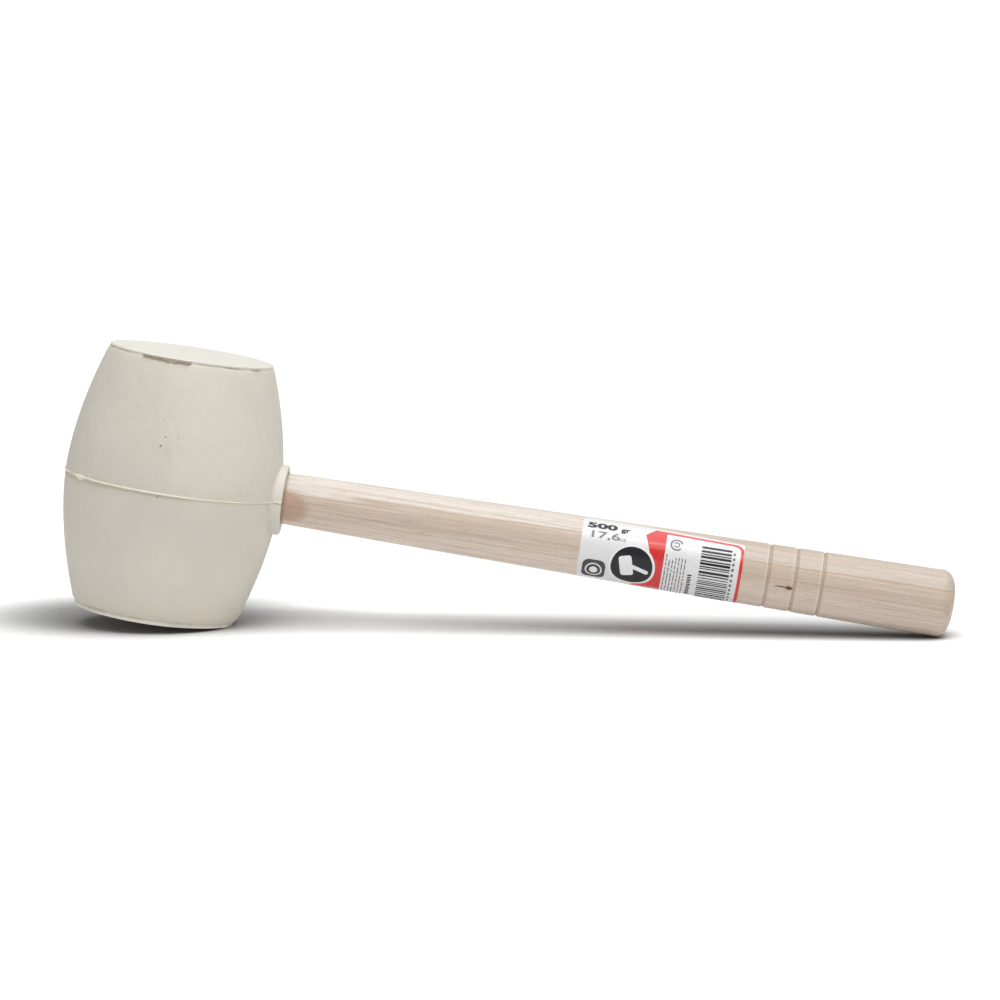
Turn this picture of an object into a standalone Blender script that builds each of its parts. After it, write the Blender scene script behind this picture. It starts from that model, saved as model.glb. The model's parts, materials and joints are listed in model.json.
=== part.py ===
"""White rubber mallet, standing at rest on its head and the end of its handle.

The mallet is modelled about its own axes: the head's axis along Z, the handle along X,
with their crossing at the origin.  An empty then tips the whole tool to its resting pose.
Metres, +Z up.
"""

import math

import bmesh
import bpy
from mathutils import Vector

# Rubber head: a barrel between two flat striking faces.
HEAD_HALF_LENGTH = 0.048
BELLY_RADIUS = 0.0395
FACE_RADIUS = 0.0297
BARREL_POWER = 1.79
FACE_EDGE_ROUND = 0.0008
FLASH_HEIGHT = 0.0006
FLASH_HALF_WIDTH = 0.0005
BARREL_STEPS = 64
BARREL_RINGS = 9

# Moulded collar where the handle leaves the head.
COLLAR_END = 0.041
COLLAR_RADIUS = 0.0129
COLLAR_ROOT = 0.024
COLLAR_ROOT_RADIUS = 0.0134
COLLAR_EDGE_ROUND = 0.0008

# Turned handle, driven in a little above the middle of the collar.
HANDLE_RISE = 0.0009
HANDLE_END = 0.287
NECK_RADIUS = 0.00905
GRIP_RADIUS = 0.01232
NECK_AT = 0.0346
TAPER_POWER = 0.72
END_ROUND = 0.0045
GROOVES_AT = (0.2188, 0.2286, 0.2385)
GROOVE_WIDTH = 0.0014
GROOVE_DEPTH = 0.0004
HANDLE_STEPS = 40

# Blind socket, glue and the wedge that spreads the tenon in it.
TENON_END = -0.0225
GAP = 0.0003
GLUE_THICKNESS = 0.0004
GLUE_MOUTH = 0.0355
GLUE_FLOOR = 0.0010
WEDGE_LENGTH = 0.022
WEDGE_WIDTH = 0.0130
WEDGE_THIN = 0.0006
WEDGE_THICK = 0.0026
SOCKET_STEPS = 40

# Printed label, wrapped part of the way round the handle.
LABEL_START = 0.150
LABEL_END = 0.209
LABEL_THICKNESS = 0.0003
LABEL_TOP_EDGE = math.radians(24)
LABEL_WRAP = math.radians(202)
LABEL_STEPS = 24

# Merging distance for every modifier and weld.
WELD = 0.00001


def clear_scene():
    for item in list(bpy.data.objects):
        bpy.data.objects.remove(item, do_unlink=True)


def new_collection(name):
    collection = bpy.data.collections.new(name)
    bpy.context.scene.collection.children.link(collection)
    return collection


def surface(name, colour, roughness, metallic=0.0):
    material = bpy.data.materials.new(name)
    material.use_nodes = True
    shader = material.node_tree.nodes["Principled BSDF"]
    shader.inputs["Base Color"].default_value = (*colour, 1.0)
    shader.inputs["Roughness"].default_value = roughness
    shader.inputs["Metallic"].default_value = metallic
    material.diffuse_color = (*colour, 1.0)
    return material


def profile_object(name, points, collection, start_angle=0.0):
    """A polyline of (radius, height) points, standing at an angle round the Z axis."""
    mesh = bpy.data.meshes.new(name)
    bm = bmesh.new()
    corners = []
    for radius, height in points:
        place = (radius * math.cos(start_angle), radius * math.sin(start_angle), height)
        corners.append(bm.verts.new(place))
    for first, second in zip(corners, corners[1:]):
        bm.edges.new((first, second))
    bm.to_mesh(mesh)
    bm.free()
    item = bpy.data.objects.new(name, mesh)
    collection.objects.link(item)
    return item


def turn(item, steps, angle=math.tau):
    """Turn a profile about its own Z axis."""
    screw = item.modifiers.new("Turned", "SCREW")
    screw.axis = "Z"
    screw.angle = angle
    screw.steps = steps
    screw.render_steps = steps
    screw.use_merge_vertices = True
    screw.merge_threshold = WELD
    screw.use_smooth_shade = True
    return item


def combine(item, other, operation):
    step = item.modifiers.new(other.name, "BOOLEAN")
    step.operation = operation
    step.solver = "EXACT"
    step.object = other


def as_guide(item):
    item.hide_render = True
    item.display_type = "WIRE"
    return item


def quarter_round(outer_radius, top, rounding, steps=4):
    """Points round an outer edge, from the flat end down to the side."""
    centre_radius = outer_radius - rounding
    centre_height = top - rounding
    points = []
    for step in range(steps + 1):
        turn_angle = math.radians(90) * step / steps
        radius = centre_radius + rounding * math.sin(turn_angle)
        height = centre_height + rounding * math.cos(turn_angle)
        points.append((radius, height))
    return points


def lay_along_x(item, rise=HANDLE_RISE):
    """Turn an item made about Z so that its axis lies along X, at a height."""
    item.location = (0.0, 0.0, rise)
    item.rotation_euler = (0.0, math.radians(90), 0.0)


def barrel_radius(height):
    return BELLY_RADIUS - (BELLY_RADIUS - FACE_RADIUS) * abs(height / HEAD_HALF_LENGTH) ** BARREL_POWER


def barrel_profile():
    side_top = HEAD_HALF_LENGTH - FACE_EDGE_ROUND
    upper = [(0.0, HEAD_HALF_LENGTH)]
    upper += quarter_round(FACE_RADIUS, HEAD_HALF_LENGTH, FACE_EDGE_ROUND, steps=2)
    for ring in range(1, BARREL_RINGS):
        height = side_top - (side_top - FLASH_HALF_WIDTH) * ring / BARREL_RINGS
        upper.append((barrel_radius(height), height))
    upper.append((barrel_radius(FLASH_HALF_WIDTH), FLASH_HALF_WIDTH))
    flash = [(BELLY_RADIUS + FLASH_HEIGHT, 0.0)]
    lower = [(radius, -height) for radius, height in reversed(upper)]
    return upper + flash + lower


def make_rubber_head(collection, cutters):
    head = turn(profile_object("rubber_head", barrel_profile(), collection), BARREL_STEPS)

    collar_points = [(0.0, COLLAR_END)]
    collar_points += quarter_round(COLLAR_RADIUS, COLLAR_END, COLLAR_EDGE_ROUND, steps=3)
    collar_points += [(COLLAR_ROOT_RADIUS, COLLAR_ROOT), (0.0, COLLAR_ROOT)]
    collar = turn(profile_object("collar_form", collar_points, cutters), SOCKET_STEPS)
    lay_along_x(as_guide(collar), rise=0.0)
    combine(head, collar, "UNION")

    beyond_mouth = COLLAR_END + 0.004
    bore = NECK_RADIUS + 2 * GAP + GLUE_THICKNESS
    floor = TENON_END - 2 * GAP - GLUE_FLOOR
    mouth_points = [
        (0.0, beyond_mouth),
        (handle_radius(COLLAR_END) + GAP, beyond_mouth),
        (handle_radius(COLLAR_END) + GAP, GLUE_MOUTH + GAP),
        (bore, GLUE_MOUTH + GAP),
        (bore, floor),
        (0.0, floor),
    ]
    socket = turn(profile_object("socket_form", mouth_points, cutters), SOCKET_STEPS)
    lay_along_x(as_guide(socket))
    combine(head, socket, "DIFFERENCE")
    return head


def handle_radius(along):
    share = max(0.0, along - NECK_AT) / (HANDLE_END - NECK_AT)
    return NECK_RADIUS + (GRIP_RADIUS - NECK_RADIUS) * share ** TAPER_POWER


def groove_profile(centre):
    """Points across one turned groove, from its grip side to its head side."""
    half = GROOVE_WIDTH / 2
    shape = ((half, 0.0), (half / 2, 0.75), (0.0, 1.0), (-half / 2, 0.75), (-half, 0.0))
    points = []
    for offset, depth in shape:
        along = centre + offset
        points.append((handle_radius(along) - GROOVE_DEPTH * depth, along))
    return points


def handle_profile():
    points = [(0.0, HANDLE_END)]
    points += quarter_round(GRIP_RADIUS, HANDLE_END, END_ROUND)
    points.append((handle_radius(0.262), 0.262))
    for centre in reversed(GROOVES_AT):
        points += groove_profile(centre)
    for along in (0.190, 0.160, 0.125, 0.095, 0.070, 0.050, COLLAR_END):
        points.append((handle_radius(along), along))
    points.append((NECK_RADIUS, NECK_AT))
    points.append((NECK_RADIUS, TENON_END))
    points.append((0.0, TENON_END))
    return points


def wedge_mesh(name, length, width, thin, thick):
    """A flat wedge lying along X, its thick end at x = 0, made from a cube."""
    mesh = bpy.data.meshes.new(name)
    bm = bmesh.new()
    bmesh.ops.create_cube(bm, size=1.0)
    for corner in bm.verts:
        at_tip = corner.co.x > 0
        thickness = thin if at_tip else thick
        corner.co = Vector((length if at_tip else 0.0, corner.co.y * width, corner.co.z * thickness))
    bm.to_mesh(mesh)
    bm.free()
    return mesh


def make_handle(collection, cutters):
    handle = turn(profile_object("handle", handle_profile(), collection), HANDLE_STEPS)
    lay_along_x(handle)

    overrun = 0.002
    slope = (WEDGE_THICK - WEDGE_THIN) / WEDGE_LENGTH
    kerf_mesh = wedge_mesh(
        "kerf_form",
        WEDGE_LENGTH + overrun + GAP,
        4 * NECK_RADIUS,
        WEDGE_THIN + 2 * GAP,
        WEDGE_THICK + 2 * GAP + slope * overrun,
    )
    kerf = bpy.data.objects.new("kerf_form", kerf_mesh)
    cutters.objects.link(as_guide(kerf))
    kerf.location = (TENON_END - overrun, 0.0, HANDLE_RISE)
    combine(handle, kerf, "DIFFERENCE")
    return handle


def make_tenon_wedge(collection):
    mesh = wedge_mesh("tenon_wedge", WEDGE_LENGTH, WEDGE_WIDTH, WEDGE_THIN, WEDGE_THICK)
    wedge = bpy.data.objects.new("tenon_wedge", mesh)
    collection.objects.link(wedge)
    wedge.location = (TENON_END, 0.0, HANDLE_RISE)
    return wedge


def make_glue_sleeve(collection):
    inner = NECK_RADIUS + GAP
    outer = inner + GLUE_THICKNESS
    inner_floor = TENON_END - GAP
    points = [
        (inner, GLUE_MOUTH),
        (outer, GLUE_MOUTH),
        (outer, inner_floor - GLUE_FLOOR),
        (0.0, inner_floor - GLUE_FLOOR),
        (0.0, inner_floor),
        (inner, inner_floor),
        (inner, GLUE_MOUTH),
    ]
    sleeve = turn(profile_object("glue_sleeve", points, collection), SOCKET_STEPS)
    weld = sleeve.modifiers.new("Closed", "WELD")
    weld.merge_threshold = WELD
    lay_along_x(sleeve)
    return sleeve


def make_label(collection):
    start = math.pi + LABEL_TOP_EDGE
    points = []
    for along in (LABEL_END, (LABEL_START + LABEL_END) / 2, LABEL_START):
        points.append((handle_radius(along) + GAP, along))
    label = turn(profile_object("label", points, collection, start), LABEL_STEPS, LABEL_WRAP)
    skin = label.modifiers.new("Film", "SOLIDIFY")
    skin.thickness = LABEL_THICKNESS
    skin.offset = 1.0
    lay_along_x(label)
    return label


def world_corners(items):
    """Lowest and highest corners of the evaluated meshes in world space."""
    graph = bpy.context.evaluated_depsgraph_get()
    low = Vector((math.inf,) * 3)
    high = Vector((-math.inf,) * 3)
    for item in items:
        solid = item.evaluated_get(graph)
        mesh = solid.to_mesh()
        for corner in mesh.vertices:
            place = solid.matrix_world @ corner.co
            low = Vector(map(min, low, place))
            high = Vector(map(max, high, place))
        solid.to_mesh_clear()
    return low, high


def rest_tilt():
    """Tilt of the line that touches the rounded rim of a face and the rounded handle end."""
    reach = (HANDLE_END - END_ROUND) - (FACE_RADIUS - FACE_EDGE_ROUND)
    drop = (HEAD_HALF_LENGTH - FACE_EDGE_ROUND) + HANDLE_RISE - (GRIP_RADIUS - END_ROUND)
    between_centres = math.hypot(reach, drop)
    return math.atan2(drop, reach) - math.asin((END_ROUND - FACE_EDGE_ROUND) / between_centres)


def stand_at_rest(items, cutters):
    """Tip the tool onto the rim of one face and the end of the handle.

    The origin is then the middle of the bounding box, at floor level.
    """
    rest = bpy.data.objects.new("mallet_rest", None)
    bpy.context.scene.collection.objects.link(rest)
    rest.rotation_euler = (0.0, rest_tilt(), 0.0)
    for item in items + list(cutters.objects):
        item.parent = rest
    bpy.context.view_layer.update()
    low, high = world_corners(items)
    middle = (low + high) / 2
    rest.location = (-middle.x, -middle.y, -low.z)
    bpy.context.view_layer.update()


def main():
    clear_scene()
    mallet = new_collection("rubber_mallet")
    cutters = new_collection("forms")

    head = make_rubber_head(mallet, cutters)
    handle = make_handle(mallet, cutters)
    wedge = make_tenon_wedge(mallet)
    glue = make_glue_sleeve(mallet)
    label = make_label(mallet)

    head.data.materials.append(surface("white_rubber", (0.62, 0.59, 0.52), 0.60))
    handle.data.materials.append(surface("beech", (0.66, 0.52, 0.40), 0.55))
    wedge.data.materials.append(surface("wedge_steel", (0.45, 0.45, 0.46), 0.40, metallic=1.0))
    glue.data.materials.append(surface("glue", (0.70, 0.55, 0.25), 0.35))
    label.data.materials.append(surface("label_film", (0.78, 0.78, 0.78), 0.30))

    stand_at_rest([head, handle, wedge, glue, label], cutters)


main()
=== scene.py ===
import json
import math
import random

import bpy
from mathutils import Matrix, Vector, noise


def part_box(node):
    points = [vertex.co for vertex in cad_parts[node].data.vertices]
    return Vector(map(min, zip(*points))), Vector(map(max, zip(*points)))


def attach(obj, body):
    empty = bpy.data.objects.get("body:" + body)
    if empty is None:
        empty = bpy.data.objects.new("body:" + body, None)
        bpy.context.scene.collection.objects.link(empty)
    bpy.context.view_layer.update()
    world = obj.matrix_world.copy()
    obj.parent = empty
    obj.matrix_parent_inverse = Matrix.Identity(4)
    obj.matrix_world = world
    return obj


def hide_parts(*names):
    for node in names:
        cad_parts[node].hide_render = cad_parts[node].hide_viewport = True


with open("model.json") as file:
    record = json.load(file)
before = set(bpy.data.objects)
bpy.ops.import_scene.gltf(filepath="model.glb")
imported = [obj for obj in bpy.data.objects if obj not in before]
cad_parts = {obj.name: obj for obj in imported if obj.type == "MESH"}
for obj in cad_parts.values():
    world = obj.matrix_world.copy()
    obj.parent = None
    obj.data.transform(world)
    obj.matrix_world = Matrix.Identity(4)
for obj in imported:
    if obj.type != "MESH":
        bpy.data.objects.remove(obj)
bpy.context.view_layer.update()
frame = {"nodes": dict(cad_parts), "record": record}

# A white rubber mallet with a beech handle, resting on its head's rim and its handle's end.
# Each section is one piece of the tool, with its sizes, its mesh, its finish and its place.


# ---------------------------------------------------------------------------------------
# The head: one moulding of solid white rubber, a barrel between two flat striking faces.
# The mould's halves leave a line of flash round the belly and across the collar that grips
# the handle, and its end plates leave a lip round each face, torn on the upper one.
# ---------------------------------------------------------------------------------------

MM = 0.001

# Each piece is made upright, with the head's axis along Z and the handle's along X, and is
# then tipped to the pose the tool rests in.
mounts = {mount["name"]: Vector(mount["pos_m"]) for mount in frame["record"]["mounts"]}
upper_face = mounts["upper_striking_face"]
lower_face = mounts["lower_striking_face"]
head_middle = (upper_face + lower_face) / 2
half_length = (upper_face - lower_face).length / 2
lean = math.atan2(upper_face.x - lower_face.x, upper_face.z - lower_face.z)
rest_place = Matrix.Translation(head_middle) @ Matrix.Rotation(lean, 4, "Y")

butt_middle = rest_place.inverted() @ mounts["handle_butt"]
handle_end = butt_middle.x
handle_rise = butt_middle.z

FLASH_PROUD = 0.6 * MM
belly_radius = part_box("rubber_head")[1].y - FLASH_PROUD
FACE_RADIUS = 29.7 * MM
BARREL_POWER = 1.79
COLLAR_END = 41 * MM
COLLAR_RADIUS = 12.9 * MM


def put_down():
    bpy.ops.object.select_all(action="DESELECT")


def take_up(piece):
    put_down()
    piece.select_set(True)
    bpy.context.view_layer.objects.active = piece


def draw_line(name, corners):
    """A chain of edges, drawn from one corner by extruding it to the next."""
    put_down()
    bpy.ops.mesh.primitive_plane_add(size=MM)
    piece = bpy.context.object
    piece.name = piece.data.name = name
    bpy.ops.object.mode_set(mode="EDIT")
    bpy.ops.mesh.select_all(action="SELECT")
    bpy.ops.mesh.merge(type="CENTER")
    bpy.ops.transform.translate(value=corners[0])
    for start, end in zip(corners, corners[1:]):
        bpy.ops.mesh.extrude_region_move(TRANSFORM_OT_translate={"value": end - start})
    return piece


def turned(name, outline, steps, along="Z", lift=0.0):
    """A closed turning from an outline of (radius, height), round Z or round the handle."""
    if along == "Z":
        corners = [Vector((radius, 0, height)) for radius, height in outline]
        axis = (0, 0, 1)
    else:
        corners = [Vector((height, 0, radius + lift)) for radius, height in outline]
        axis = (1, 0, 0)
    piece = draw_line(name, corners)
    bpy.ops.mesh.select_all(action="SELECT")
    bpy.ops.mesh.spin(steps=steps, angle=math.tau, center=(0, 0, lift), axis=axis)
    bpy.ops.mesh.select_all(action="SELECT")
    bpy.ops.mesh.remove_doubles(threshold=0.001 * MM)
    bpy.ops.mesh.normals_make_consistent(inside=False)
    bpy.ops.object.mode_set(mode="OBJECT")
    return piece


def block(name, size, middle):
    put_down()
    bpy.ops.mesh.primitive_cube_add(size=1)
    item = bpy.context.object
    item.name = name
    item.scale = size
    item.location = middle
    bpy.ops.object.transform_apply(location=True, rotation=True, scale=True)
    return item


def cut_or_join(piece, other, operation):
    """Joins another closed shape to a piece, or cuts it out, and throws the other away."""
    take_up(piece)
    step = piece.modifiers.new(other.name, "BOOLEAN")
    step.operation = operation
    step.solver = "EXACT"
    step.object = other
    bpy.ops.object.modifier_apply(modifier=step.name)
    bpy.data.objects.remove(other, do_unlink=True)


def rounded_corner(radius, height, inwards, downwards, steps):
    """Points round an outer corner, from the flat end above it to the side below it."""
    points = []
    for step in range(steps + 1):
        turn = math.radians(90) * step / steps
        across = radius - inwards * (1 - math.sin(turn))
        points.append((across, height - downwards * (1 - math.cos(turn))))
    return points


def smooth(value, low, high):
    """0 below low and 1 above high, with a smooth step between."""
    share = min(1.0, max(0.0, (value - low) / (high - low)))
    return share * share * (3 - 2 * share)


def hump(value, centre, reach):
    """1 at the centre, falling smoothly to 0 at the reach on each side."""
    return 1 - smooth(abs(value - centre), 0, reach)


def wander(value, lane):
    """A smooth random walk between about -1 and 1, one for each lane."""
    return 2 * noise.noise(Vector((value, 7.3 * lane, 1.9 * lane)))


def finish_piece(piece, material, replaced=()):
    """Tips a piece to its resting place, in its mesh, and fixes it to the tool."""
    piece.matrix_world = rest_place
    take_up(piece)
    bpy.ops.object.transform_apply(location=True, rotation=True, scale=True)
    bpy.ops.object.shade_smooth_by_angle(angle=math.radians(32))
    piece.data.materials.clear()
    piece.data.materials.append(material)
    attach(piece, "root")
    if replaced:
        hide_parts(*replaced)


def barrel_radius(height):
    swell = abs(height / half_length) ** BARREL_POWER
    return belly_radius - (belly_radius - FACE_RADIUS) * swell


# Across, depth below the face, and how far each point moves with the lip and hangs with it.
LIP_PROFILE = [
    (29.20, 0.02, 0.15, 0.00), (29.45, 0.06, 0.50, 0.00), (29.60, 0.12, 0.85, 0.02),
    (29.68, 0.20, 1.00, 0.10), (29.72, 0.30, 1.03, 0.25), (29.74, 0.42, 1.05, 0.45),
    (29.75, 0.54, 1.03, 0.70), (29.74, 0.64, 0.98, 0.92), (29.70, 0.72, 0.92, 1.00),
    (29.66, 0.78, 0.86, 0.85), (29.62, 0.84, 0.74, 0.45), (29.57, 0.90, 0.35, 0.12),
    (29.54, 0.98, 0.05, 0.00), (29.58, 1.06, 0.00, 0.00), (29.74, 1.16, 0.00, 0.00),
    (29.98, 1.28, 0.00, 0.00),
]
FACE_RINGS = (0, 9, 18, 25, 28, 28.9)
LOWER_LIP_DEEPER = 1.30
GROOVE_FILL = 0.27 * MM


def head_outline():
    upper = [(across * MM, half_length) for across in FACE_RINGS]
    upper += [(across * MM, half_length - depth * MM) for across, depth, _, _ in LIP_PROFILE]
    side = []
    height = half_length - 2.3 * MM
    while height > 2.6 * MM:
        side.append((barrel_radius(height), height))
        height -= 2.0 * MM
    at_flash = [(2.3 - 0.1 * step) * MM for step in range(47)]
    middle = [(barrel_radius(height), height) for height in at_flash]
    lower = [(across * MM, -half_length) for across in FACE_RINGS]
    for across, depth, _, _ in LIP_PROFILE:
        lower.append((across * MM, depth * LOWER_LIP_DEEPER * MM - half_length))
    under_side = [(radius, -height) for radius, height in side]
    return upper + side + middle + under_side[::-1] + lower[::-1]


def lip_shares(depth):
    """How far a point at this depth (in millimetres) moves with the lip and hangs with it."""
    before = (FACE_RINGS[-1], 0.0, 0.0, 0.0)
    for row in LIP_PROFILE:
        if depth <= row[1]:
            share = (depth - before[1]) / (row[1] - before[1])
            moves = before[2] + share * (row[2] - before[2])
            hangs = before[3] + share * (row[3] - before[3])
            return moves, hangs
        before = row
    return 0.0, 0.0


def flap(bearing):
    """The torn flap of flash on the upper rim; bearing 0 faces -Y and 90 the handle."""
    return smooth(bearing, -29.5, -27.5) * (1 - smooth(bearing, 5.5, 7.5))


def upper_groove(bearing):
    """How open the groove under the upper lip is; elsewhere the lip runs into the barrel."""
    open_share = 0.70 * smooth(bearing, -95, -82) * (1 - smooth(bearing, -44, -38))
    open_share += 0.75 * smooth(bearing, 11, 13) * (1 - smooth(bearing, 37, 44))
    open_share += 1.3 * smooth(bearing, 51, 54) * (1 - smooth(bearing, 62, 66))
    open_share += flap(bearing) + 0.5 * smooth(abs(bearing), 88, 110)
    return min(1.0, open_share * (0.85 + 0.3 * wander(bearing * 0.45, 12)))


def lower_groove(bearing):
    open_share = smooth(bearing, -68, -60) * (1 - 0.5 * smooth(bearing, -22, -8))
    open_share *= 1 - 0.85 * smooth(bearing, 2, 12)
    return open_share + 0.5 * smooth(abs(bearing), 88, 110)


def upper_lip(bearing):
    """How far the upper lip stands out and how far it hangs down."""
    reach = 0.04 + 0.10 * upper_groove(bearing) + 0.08 * wander(bearing * 0.55, 2)
    ragged = 0.86 + 0.12 * wander(bearing * 0.3, 3) + 0.10 * wander(bearing * 1.1, 4)
    reach += flap(bearing) * ragged
    reach += 0.45 * hump(bearing, 58, 7) + 0.10 * hump(bearing, 38, 14)
    reach -= 0.16 * smooth(abs(bearing), 62, 80)
    hang = 0.12 + 0.14 * wander(bearing * 0.35, 5)
    ragged = 0.34 + 0.22 * wander(bearing * 0.22, 6) + 0.16 * wander(bearing * 0.8, 7)
    hang += flap(bearing) * ragged
    hang += 0.70 * flap(bearing) * hump(bearing, -8.0, 9) + 0.30 * hump(bearing, 58, 7)
    return max(0.0, reach) * MM, max(0.0, hang) * MM


def lower_lip(bearing):
    """The same for the lower lip, which is worn away on the side of the handle."""
    reach = 0.04 + 0.06 * wander(bearing * 0.08, 8) + 0.12 * hump(bearing, -20, 50)
    reach -= 0.55 * hump(bearing, -96, 30)
    reach += 0.45 * hump(bearing, 64.5, 2.2) - 0.4 * hump(bearing, 61, 1.6)
    drop = 0.42 * smooth(bearing, -80, -58) * (1 - smooth(bearing, 5, 55))
    worn = 0.9 * smooth(bearing, 66, 84) * (1 - smooth(bearing, 96, 130))
    return (reach - worn) * MM, drop * MM


def flash_level(across):
    """The parting line wanders up and down across the head."""
    level = -0.35 + 0.55 * smooth(across, -29, -8) + 0.70 * smooth(across, 8, 28)
    return (level - 0.30 * smooth(across, 34, 40)) * MM


def flash_form(bearing):
    """Height and half width of the flash round the belly."""
    height = 0.26 + 0.08 * wander(bearing * 0.1, 9) + 0.05 * wander(bearing * 0.7, 10)
    height += 0.28 * smooth(bearing, -100, -68) * (1 - smooth(bearing, 11, 20))
    height -= 0.40 * hump(bearing, -61, 5)
    height += 0.40 * hump(bearing, -51.5, 5)
    width = 0.26 + 0.05 * wander(bearing * 0.5, 11) + 0.04 * smooth(bearing, -75, -50)
    width -= 0.05 * smooth(bearing, 10, 20)
    width += 0.62 * hump(bearing, -51, 5.5)
    return max(0.03, height) * MM, max(0.12, width) * MM


def raise_flash(piece):
    """Moves the plain moulding's points out for the flash and for both lips."""
    for corner in piece.data.vertices:
        place = corner.co.copy()
        radius = math.hypot(place.x, place.y)
        if radius < 29 * MM:
            continue
        bearing = math.degrees(math.atan2(place.x, -place.y))
        out = Vector((place.x / radius, place.y / radius, 0))
        if abs(place.z) < 2.5 * MM:
            height, width = flash_form(bearing)
            sag = -0.45 * MM * hump(bearing, -51, 5.5)
            share = (place.z - flash_level(place.x) - sag) / width
            corner.co = place + out * height * math.exp(-min(30, share ** 4))
        depth = (half_length - abs(place.z)) / MM
        if depth < 2 and place.z > 0:
            reach, hang = upper_lip(bearing)
            moves, hangs = lip_shares(depth)
            filled = GROOVE_FILL * (1 - upper_groove(bearing)) * hump(depth, 0.96, 0.36)
            corner.co = place + out * (reach * moves + filled) - Vector((0, 0, hang * hangs))
        elif depth < 2.2:
            reach, drop = lower_lip(bearing)
            depth /= LOWER_LIP_DEEPER
            moves, hangs = lip_shares(depth)
            filled = GROOVE_FILL * (1 - lower_groove(bearing)) * hump(depth, 0.96, 0.36)
            corner.co = place + out * (reach * moves + filled) - Vector((0, 0, drop * moves))


def collar_form():
    """The collar, flared where it runs into the barrel."""
    outline = [(0, COLLAR_END)] + rounded_corner(COLLAR_RADIUS, COLLAR_END, 0.8 * MM, 0.8 * MM, 6)
    for step in range(7):
        turn = math.radians(15 * step)
        radius = COLLAR_RADIUS + (1 - math.cos(turn)) * 1.9 * MM
        outline.append((radius, 39.2 * MM - math.sin(turn) * 2.4 * MM))
    outline += [(COLLAR_RADIUS + 1.4 * MM, 33 * MM), (0, 33 * MM)]
    form = turned("collar_form", outline, 192, along="X")
    form.location.z = 0.15 * MM
    take_up(form)
    bpy.ops.object.transform_apply(location=True, rotation=False, scale=False)
    return form


def collar_flash_form():
    width = 2 * (COLLAR_RADIUS + 0.42 * MM)
    middle = (COLLAR_END - 2.44 * MM, 0, 0.62 * MM)
    form = block("collar_flash_form", (5 * MM, width, 0.55 * MM), middle)
    edge = form.modifiers.new("soft edge", "BEVEL")
    edge.width = 0.16 * MM
    edge.segments = 3
    bpy.ops.object.modifier_apply(modifier=edge.name)
    return form


GRIP_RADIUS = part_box("handle")[1].y
NECK_RADIUS = 9.05 * MM
NECK_AT = 34.6 * MM
TAPER_POWER = 0.72


def handle_radius(along):
    share = max(0.0, along - NECK_AT) / (handle_end - NECK_AT)
    return NECK_RADIUS + (GRIP_RADIUS - NECK_RADIUS) * min(1.0, share) ** TAPER_POWER


def socket_form():
    """The blind hole: close round the handle at its mouth, and wider where the glue lies."""
    mouth = handle_radius(COLLAR_END) + 0.16 * MM
    glue_low, glue_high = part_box("glue_sleeve")
    bore = (glue_high.y - glue_low.y) / 2 + 0.3 * MM
    shoulder = COLLAR_END - 5.2 * MM
    floor = -24.1 * MM
    outline = [
        (0, COLLAR_END + 4 * MM), (mouth + 1.2 * MM, COLLAR_END + 4 * MM),
        (mouth + 0.30 * MM, COLLAR_END), (mouth, COLLAR_END - 0.35 * MM),
        (mouth, shoulder), (bore, shoulder), (bore, floor), (0, floor),
    ]
    return turned("socket_form", outline, 160, along="X", lift=handle_rise)


def pore_forms():
    """Small voids that open at the surface of the moulding: bearing, height and radius."""
    pores = [
        (-3.6, 17.0, 0.46), (-1.8, 20.4, 0.40), (-4.1, 26.5, 0.30), (5.3, 20.7, 0.28),
        (-0.9, -0.95, 0.36), (-62.0, -1.35, 0.60), (38, -21, 0.22),
        (150, 8, 0.4), (156, 11, 0.3), (-140, -17, 0.35),
    ]
    put_down()
    made = []
    for bearing, height, radius in pores:
        side = barrel_radius(height * MM) + 0.08 * MM
        turn = math.radians(bearing)
        place = (side * math.sin(turn), -side * math.cos(turn), height * MM)
        bpy.ops.mesh.primitive_uv_sphere_add(
            segments=14, ring_count=9, radius=radius * MM, location=place)
        made.append(bpy.context.object)
    return joined("pore_forms", made)


def joined(name, items):
    put_down()
    for item in items:
        item.select_set(True)
    bpy.context.view_layer.objects.active = items[0]
    bpy.ops.object.join()
    piece = bpy.context.object
    piece.name = piece.data.name = name
    return piece


def mottle_group():
    """One random pattern over the surface, as a mask: the share of it between two levels."""
    group = bpy.data.node_groups.new("mottle", "ShaderNodeTree")
    settings = [
        ("Scale", 1.0), ("Detail", 3.0), ("Roughness", 0.5), ("Distortion", 0.0),
        ("Low", 0.3), ("High", 0.7), ("Least", 0.0), ("Most", 1.0),
    ]
    group.interface.new_socket("Vector", in_out="INPUT", socket_type="NodeSocketVector")
    for name, value in settings:
        socket = group.interface.new_socket(name, in_out="INPUT", socket_type="NodeSocketFloat")
        socket.default_value = value
    group.interface.new_socket("Mask", in_out="OUTPUT", socket_type="NodeSocketFloat")
    given = group.nodes.new("NodeGroupInput")
    result = group.nodes.new("NodeGroupOutput")
    cells = group.nodes.new("ShaderNodeTexNoise")
    for name in ("Vector", "Scale", "Detail", "Roughness", "Distortion"):
        group.links.new(given.outputs[name], cells.inputs[name])
    step = group.nodes.new("ShaderNodeMapRange")
    step.interpolation_type = "SMOOTHSTEP"
    group.links.new(cells.outputs["Fac"], step.inputs["Value"])
    levels = [("Low", "From Min"), ("High", "From Max"), ("Least", "To Min"), ("Most", "To Max")]
    for name, target in levels:
        group.links.new(given.outputs[name], step.inputs[target])
    group.links.new(step.outputs["Result"], result.inputs["Mask"])
    return group


mottle = mottle_group()


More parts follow.
